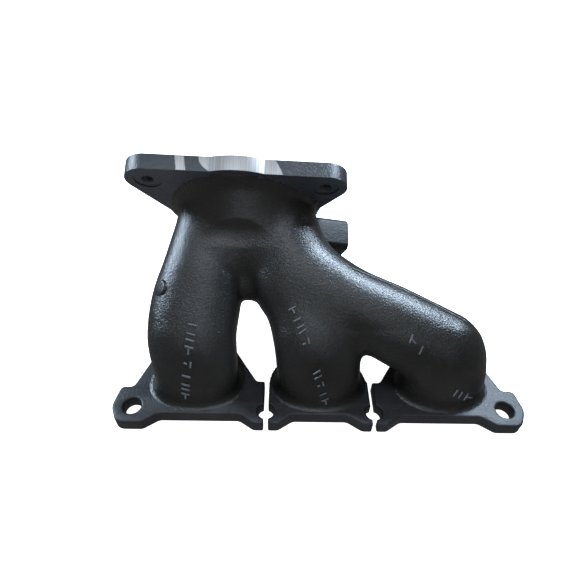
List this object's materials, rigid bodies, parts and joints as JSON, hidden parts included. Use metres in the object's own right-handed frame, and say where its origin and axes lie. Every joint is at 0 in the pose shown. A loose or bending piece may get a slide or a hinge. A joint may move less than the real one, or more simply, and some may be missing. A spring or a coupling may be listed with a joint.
{
  "type": "exhaust manifold",
  "caption": "Cast exhaust manifold: oval ports on a split head flange, leaning runners merging into one eared outlet flange, with a sensor boss.",
  "frame": {"origin": "centre of the middle port, on the face that seals to the cylinder head", "axes": "+X along the row of ports, +Y from the head flange towards the outlet, +Z away from the cylinder head"},
  "size_m": [0.3386, 0.2204, 0.1681],
  "materials": {
    "flange_iron": "satin black heat-resistant coat over cast iron, machined underside",
    "runner_iron": "satin black heat-resistant coat over a fine sand-cast surface",
    "collector_iron": "satin black heat-resistant coat over a fine sand-cast surface",
    "outlet_iron": "satin black coat with bare machined faces",
    "boss_iron": "satin black heat-resistant coat over cast iron"
  },
  "bodies": {
    "root": {"collector": "collector_iron", "ear_gusset": "collector_iron", "head_flange_front": "flange_iron", "head_flange_middle": "flange_iron", "head_flange_rear": "flange_iron", "outlet_flange": "outlet_iron", "runner_front": "runner_iron", "runner_middle": "runner_iron", "runner_rear": "runner_iron", "sensor_boss": "boss_iron", "shield_pad": "boss_iron"}
  },
  "joints": []
}
